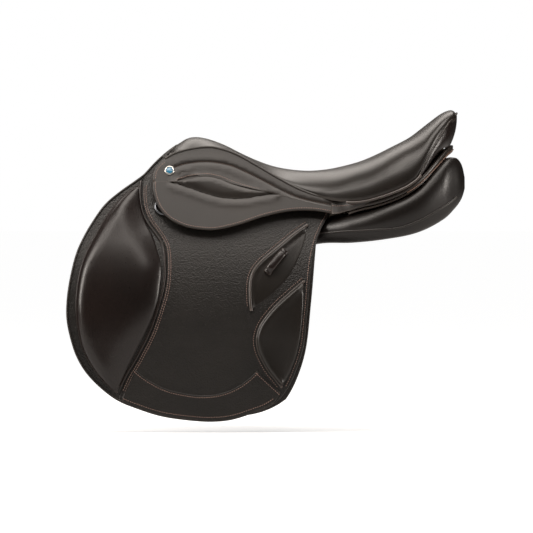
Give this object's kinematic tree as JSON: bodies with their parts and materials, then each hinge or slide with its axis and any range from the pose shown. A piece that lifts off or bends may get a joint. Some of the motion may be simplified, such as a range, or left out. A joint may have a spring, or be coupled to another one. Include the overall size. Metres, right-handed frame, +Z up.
{
  "type": "english saddle",
  "caption": "English jumping saddle in dark brown leather: padded seat, liftable flaps and skirts, girth straps, stirrup bars and wool panels.",
  "frame": {"origin": "on the centre line, level with the panels' lowest bearing line, about below the seat's lowest point", "axes": "+X toward the cantle (the horse's tail), -Y is the near (left) side, +Z up"},
  "size_m": [0.6023, 0.3382, 0.471],
  "materials": {
    "wood": "satin",
    "steel": "satin",
    "webbing": "woven",
    "foam": "matt foam",
    "smooth_leather": "smooth satin",
    "flap_leather": "pebbled grain",
    "panel_leather": "soft satin",
    "strap_leather": "smooth bridle leather",
    "plated_brass": "bright plated",
    "enamel": "gloss"
  },
  "bodies": {
    "root": {"tree": "wood", "head_plate": "steel", "seat_webbing": "webbing", "seat_foam": "foam", "seat_cover": "smooth_leather", "pommel_facing": "smooth_leather", "cantle_facing": "smooth_leather", "cantle_rim": "smooth_leather", "panel_left": "panel_leather", "sweat_flap_left": "flap_leather", "flap_tip_left": "flap_leather", "skirt_band_left": "smooth_leather", "seat_welt_left": "smooth_leather", "girth_webbing_left": "webbing", "stirrup_bar_left": "steel", "bar_rivets_left": "steel", "catch_pin_left": "steel", "nail_rim_left": "plated_brass", "nail_enamel_left": "enamel", "panel_right": "panel_leather", "sweat_flap_right": "flap_leather", "flap_tip_right": "flap_leather", "skirt_band_right": "smooth_leather", "seat_welt_right": "smooth_leather", "girth_webbing_right": "webbing", "stirrup_bar_right": "steel", "bar_rivets_right": "steel", "catch_pin_right": "steel", "nail_rim_right": "plated_brass", "nail_enamel_right": "enamel"},
    "flap_left": {"flap_left": "flap_leather", "knee_pad_left": "smooth_leather", "calf_block_left": "flap_leather", "hem_band_left": "flap_leather", "keeper_patch_left": "smooth_leather", "keeper_loop_left": "strap_leather", "dee_chape_left": "strap_leather"},
    "skirt_left": {"skirt_left": "smooth_leather", "skirt_leaf_left": "smooth_leather"},
    "girth_strap_front_left": {"girth_strap_front_left": "strap_leather"},
    "girth_strap_middle_left": {"girth_strap_middle_left": "strap_leather"},
    "girth_strap_rear_left": {"girth_strap_rear_left": "strap_leather"},
    "bar_catch_left": {"bar_catch_left": "steel"},
    "dee_ring_left": {"dee_ring_left": "plated_brass"},
    "flap_right": {"flap_right": "flap_leather", "knee_pad_right": "smooth_leather", "calf_block_right": "flap_leather", "hem_band_right": "flap_leather", "keeper_patch_right": "smooth_leather", "keeper_loop_right": "strap_leather", "dee_chape_right": "strap_leather"},
    "skirt_right": {"skirt_right": "smooth_leather", "skirt_leaf_right": "smooth_leather"},
    "girth_strap_front_right": {"girth_strap_front_right": "strap_leather"},
    "girth_strap_middle_right": {"girth_strap_middle_right": "strap_leather"},
    "girth_strap_rear_right": {"girth_strap_rear_right": "strap_leather"},
    "bar_catch_right": {"bar_catch_right": "steel"},
    "dee_ring_right": {"dee_ring_right": "plated_brass"}
  },
  "joints": [
    {"name": "flap_lift_left", "type": "hinge", "parent": "root", "child": "flap_left", "pos_m": [-0.217, -0.08145, 0.116], "axis": [-0.9666, 0.1043, 0.2343], "range_deg": [0, 75]},
    {"name": "skirt_lift_left", "type": "hinge", "parent": "flap_left", "child": "skirt_left", "pos_m": [-0.217, -0.08145, 0.116], "axis": [-0.9666, 0.1043, 0.2343], "range_deg": [0, 60]},
    {"name": "girth_strap_front_left_swing", "type": "hinge", "parent": "root", "child": "girth_strap_front_left", "pos_m": [-0.16, -0.09055, 0.04], "axis": [0, 1, 0], "range_deg": [-4, 4]},
    {"name": "girth_strap_middle_left_swing", "type": "hinge", "parent": "root", "child": "girth_strap_middle_left", "pos_m": [-0.115, -0.09055, 0.04], "axis": [0, 1, 0], "range_deg": [-4, 4]},
    {"name": "girth_strap_rear_left_swing", "type": "hinge", "parent": "root", "child": "girth_strap_rear_left", "pos_m": [-0.07, -0.09055, 0.04], "axis": [0, 1, 0], "range_deg": [-4, 4]},
    {"name": "bar_catch_left_turn", "type": "hinge", "parent": "root", "child": "bar_catch_left", "pos_m": [-0.123, -0.09781, 0.06205], "axis": [0, -0.9135, 0.4067], "range_deg": [0, 60]},
    {"name": "dee_ring_left_swing", "type": "hinge", "parent": "flap_left", "child": "dee_ring_left", "pos_m": [-0.219, -0.0948, 0.06071], "axis": [-1, 0, 0], "range_deg": [0, 10]},
    {"name": "flap_lift_right", "type": "hinge", "parent": "root", "child": "flap_right", "pos_m": [-0.217, 0.08145, 0.116], "axis": [0.9666, 0.1043, -0.2343], "range_deg": [0, 75]},
    {"name": "skirt_lift_right", "type": "hinge", "parent": "flap_right", "child": "skirt_right", "pos_m": [-0.217, 0.08145, 0.116], "axis": [0.9666, 0.1043, -0.2343], "range_deg": [0, 60]},
    {"name": "girth_strap_front_right_swing", "type": "hinge", "parent": "root", "child": "girth_strap_front_right", "pos_m": [-0.16, 0.09055, 0.04], "axis": [0, 1, 0], "range_deg": [-4, 4]},
    {"name": "girth_strap_middle_right_swing", "type": "hinge", "parent": "root", "child": "girth_strap_middle_right", "pos_m": [-0.115, 0.09055, 0.04], "axis": [0, 1, 0], "range_deg": [-4, 4]},
    {"name": "girth_strap_rear_right_swing", "type": "hinge", "parent": "root", "child": "girth_strap_rear_right", "pos_m": [-0.07, 0.09055, 0.04], "axis": [0, 1, 0], "range_deg": [-4, 4]},
    {"name": "bar_catch_right_turn", "type": "hinge", "parent": "root", "child": "bar_catch_right", "pos_m": [-0.123, 0.09781, 0.06205], "axis": [0, -0.9135, -0.4067], "range_deg": [0, 60]},
    {"name": "dee_ring_right_swing", "type": "hinge", "parent": "flap_right", "child": "dee_ring_right", "pos_m": [-0.219, 0.0948, 0.06071], "axis": [1, 0, 0], "range_deg": [0, 10]}
  ]
}
